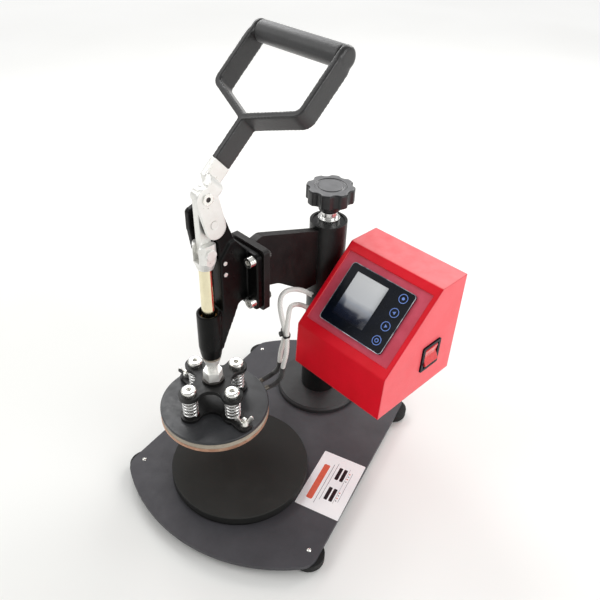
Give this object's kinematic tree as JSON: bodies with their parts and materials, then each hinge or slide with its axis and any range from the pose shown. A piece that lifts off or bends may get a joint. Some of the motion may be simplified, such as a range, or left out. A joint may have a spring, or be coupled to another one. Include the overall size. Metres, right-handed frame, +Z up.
{
  "type": "plate heat press",
  "caption": "Bench heat press with a swing-away head, toggle lever with loop handle, sprung round platen, round silicone pad and slant-front control box.",
  "frame": {"origin": "on the post's axis, where it meets the underside of the base plate; the feet reach 12 mm below", "axes": "+Z up along the post, -Y from the post toward the pad and the operator, +X to the operator's right"},
  "size_m": [0.3012, 0.3737, 0.4961],
  "materials": {
    "charcoal_coat": "fine textured powder coat",
    "black_coat": "semi-gloss black",
    "gloss_casting": "gloss black enamel",
    "red_coat": "satin red powder coat",
    "deep_red_panel": "matt red",
    "zinc": "bright zinc",
    "chrome": "polished",
    "rod_chrome": "ground",
    "dark_steel": "black oxide",
    "steel": "turned",
    "spring_wire": "bright spring wire",
    "bronze": "sintered",
    "rubber": "moulded",
    "silicone": "matt silicone",
    "card": "coated card",
    "dip_coat": "dipped vinyl",
    "grip_plastic": "moulded grip",
    "knob_plastic": "moulded phenolic",
    "black_plastic": "gloss",
    "display_glass": "liquid crystal window",
    "touch_mark": "printed ring",
    "red_plastic": "translucent red",
    "board": "glass-epoxy board",
    "relay_case": "moulded",
    "insulation": "mineral fibre board",
    "platen_alloy": "coated cast aluminium",
    "heater": "tubular element",
    "wire_braid": "white glass-fibre braid",
    "sleeve_braid": "black heat sleeve",
    "tie_plastic": "nylon",
    "gland_plastic": "nylon"
  },
  "bodies": {
    "base": {"base_plate": "charcoal_coat", "rubber_feet": "rubber", "foot_screws": "zinc", "base_screws": "zinc", "info_card": "card", "pad_carrier": "black_coat", "silicone_pad": "silicone", "post_flange": "black_coat", "post_column": "steel", "post_collar": "black_coat"},
    "swing_head": {"swing_sleeve": "black_coat", "sleeve_bushes": "bronze", "sleeve_plug": "black_coat", "knob_collar": "chrome", "swing_arm": "black_coat", "arm_flange": "black_coat", "head_casting": "gloss_casting", "casting_bolts": "zinc", "web_screws": "zinc", "guide_bush": "bronze", "lever_pivot_pins": "zinc", "box_shell": "red_coat", "box_back_cover": "red_coat", "box_screws": "zinc", "box_bracket": "black_coat", "panel_plate": "deep_red_panel", "controller_bezel": "black_plastic", "display_window": "display_glass", "touch_rings": "touch_mark", "controller_board": "board", "switch_bezel": "black_plastic", "power_inlet": "black_plastic", "heater_relay": "relay_case", "wire_glands": "gland_plastic", "heater_wires": "wire_braid", "heat_sleeves": "sleeve_braid", "cable_tie": "tie_plastic"},
    "knob": {"lock_knob": "knob_plastic"},
    "lever": {"lever_fork": "zinc", "eye_pins": "zinc", "handle_frame": "dip_coat", "handle_grip": "grip_plastic"},
    "plunger": {"plunger_rod": "rod_chrome", "rod_clevis": "zinc", "clevis_pin": "zinc", "spindle": "rod_chrome", "lock_nut": "zinc", "spindle_washer": "dark_steel", "spider_plate": "black_coat", "platen_springs": "spring_wire"},
    "link": {"toggle_link": "dark_steel"},
    "platen": {"spring_screws": "zinc", "lower_bracket": "black_coat", "wing_nuts": "zinc", "clamp_studs": "zinc", "platen_cover": "charcoal_coat", "insulation_disc": "insulation", "heating_platen": "platen_alloy", "heater_element": "heater"},
    "switch": {"rocker": "red_plastic"}
  },
  "joints": [
    {"name": "head_swing", "type": "hinge", "parent": "base", "child": "swing_head", "pos_m": [0, 0, 0.1], "axis": [0, 0, 1], "range_deg": [-90, 12.4]},
    {"name": "knob_turn", "type": "hinge", "parent": "swing_head", "child": "knob", "pos_m": [0, 0, 0.3], "axis": [0, 0, 1], "range_deg": [-90, 180]},
    {"name": "lever_pull", "type": "hinge", "parent": "swing_head", "child": "lever", "pos_m": [-0.04554, -0.16534, 0.332], "axis": [0.9641, -0.2656, 0], "range_deg": [0, 168]},
    {"name": "plunger_drop", "type": "slide", "parent": "swing_head", "child": "plunger", "axis": [0, 0, -1], "range_m": [0, 0.058]},
    {"name": "link_tilt", "type": "hinge", "parent": "plunger", "child": "link", "pos_m": [-0.04687, -0.17016, 0.3], "axis": [0.9641, -0.2656, 0], "range_deg": [-6, 0]},
    {"name": "platen_float", "type": "slide", "parent": "plunger", "child": "platen", "axis": [0, 0, 1], "range_m": [0, 0.004], "stiffness_N_per_m": 20000, "springref_m": -0.002, "deforming": ["platen_springs"]},
    {"name": "switch_rock", "type": "hinge", "parent": "swing_head", "child": "switch", "pos_m": [0.15045, -0.03672, 0.1629], "axis": [0.2656, 0.9641, 0], "range_deg": [0, 18]}
  ],
  "couplings": [
    {"joint": "plunger_drop", "follows": "lever_pull", "m_per_rad": 0.019781},
    {"joint": "link_tilt", "follows": "lever_pull", "ratio": -0.0327}
  ]
}
